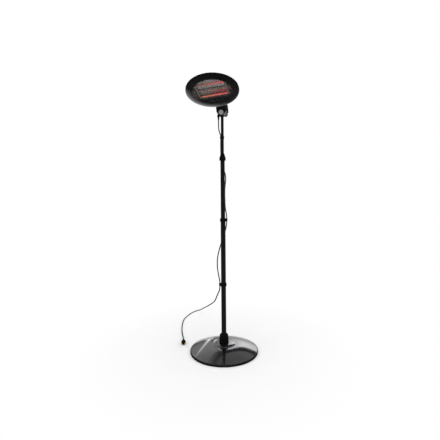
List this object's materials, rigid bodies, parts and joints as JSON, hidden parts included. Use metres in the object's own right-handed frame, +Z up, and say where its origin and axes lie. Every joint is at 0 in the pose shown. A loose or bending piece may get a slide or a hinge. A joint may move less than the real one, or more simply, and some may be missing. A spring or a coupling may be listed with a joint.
{
  "type": "patio heater",
  "caption": "Free-standing infrared patio heater: weighted round base, telescoping pole, leaning bracket and a tilting round head with three quartz tubes.",
  "frame": {"origin": "centre of the base's underside, on the pole's axis", "axes": "+Z up along the pole, -Y towards the front, where the head reaches out over the user, +X to the right seen from the front"},
  "size_m": [0.6153, 1.2591, 1.9871],
  "materials": {
    "cast_iron": "rough casting",
    "gloss_black": "gloss",
    "satin_black": "satin",
    "moulded_black": "fine grain",
    "cast_black": "black powder coat",
    "rubber": "matte",
    "zinc": "zinc plated",
    "silver": "satin silver",
    "grey_cap": "matte",
    "polished": "polished",
    "quartz": "clear, orange glow",
    "element": "glowing resistance wire",
    "ceramic": "matte ceramic",
    "brass": "plain"
  },
  "bodies": {
    "root": {"base_weight": "cast_iron", "base_cover": "gloss_black", "edge_trim": "rubber", "pole_foot": "satin_black", "foot_bolt_1": "zinc", "foot_bolt_2": "zinc", "foot_bolt_3": "zinc", "base_collar": "moulded_black", "lower_pole": "satin_black", "middle_pole": "satin_black", "upper_pole": "satin_black", "pole_joint_lower": "moulded_black", "pole_joint_upper": "moulded_black", "lock_sleeve": "moulded_black", "cable_clip_lower": "moulded_black", "cable_clip_middle": "moulded_black", "cord_lower": "rubber", "cord_cross": "rubber", "plug_body": "rubber", "plug_pins": "brass"},
    "lock_ring": {"lock_nut": "moulded_black"},
    "slider": {"inner_pole_bush": "moulded_black", "cable_clip_upper": "moulded_black"},
    "mast": {"inner_pole": "satin_black", "pole_head": "cast_black", "pole_head_screw": "zinc", "cord_gland": "rubber", "cord_upper": "rubber"},
    "lean_lock": {"lean_knob": "moulded_black", "lean_knob_cap": "grey_cap"},
    "yoke": {"bracket": "cast_black", "bracket_cover": "cast_black", "cover_screw_1": "zinc", "cover_screw_2": "zinc", "terminal_block": "ceramic", "pivot_bolt": "silver", "pivot_nut": "zinc", "tilt_bolt": "satin_black", "tilt_nut": "satin_black"},
    "head": {"neck": "cast_black", "neck_screw_1": "zinc", "neck_screw_2": "zinc", "rear_shell": "gloss_black", "front_bezel": "gloss_black", "bezel_screw_1": "satin_black", "bezel_screw_2": "satin_black", "bezel_screw_3": "satin_black", "wire_guard": "satin_black", "reflector_pan": "polished", "reflector": "polished", "quartz_tube_1": "quartz", "quartz_tube_2": "quartz", "quartz_tube_3": "quartz", "heating_element_1": "element", "heating_element_2": "element", "heating_element_3": "element", "tube_holder_left": "polished", "tube_holder_right": "polished", "ceramic_bar_left": "ceramic", "ceramic_bar_right": "ceramic"}
  },
  "joints": [
    {"name": "height_slide", "type": "slide", "parent": "root", "child": "slider", "axis": [0, 0, 1], "range_m": [-0.1, 0.06], "deforming": ["cord_cross"]},
    {"name": "head_swivel", "type": "hinge", "parent": "slider", "child": "mast", "pos_m": [0, 0, 1.5], "axis": [0, 0, 1], "range_deg": [-50, 50]},
    {"name": "lock_twist", "type": "hinge", "parent": "root", "child": "lock_ring", "pos_m": [0, 0, 1.44], "axis": [0, 0, 1], "range_deg": [0, 90]},
    {"name": "bracket_lean", "type": "hinge", "parent": "mast", "child": "yoke", "pos_m": [0, 0, 1.7708], "axis": [0.2164, 0.9763, 0], "range_deg": [-8.4, 21.6]},
    {"name": "lean_knob_turn", "type": "hinge", "parent": "mast", "child": "lean_lock", "pos_m": [0.02433, -0.04432, 1.75155], "axis": [0.2164, 0.9763, 0], "range_deg": [-180, 180]},
    {"name": "head_tilt", "type": "hinge", "parent": "yoke", "child": "head", "pos_m": [-0.0101, 0.00224, 1.8602], "axis": [0.9698, -0.215, 0.1149], "range_deg": [-47, 18]}
  ]
}
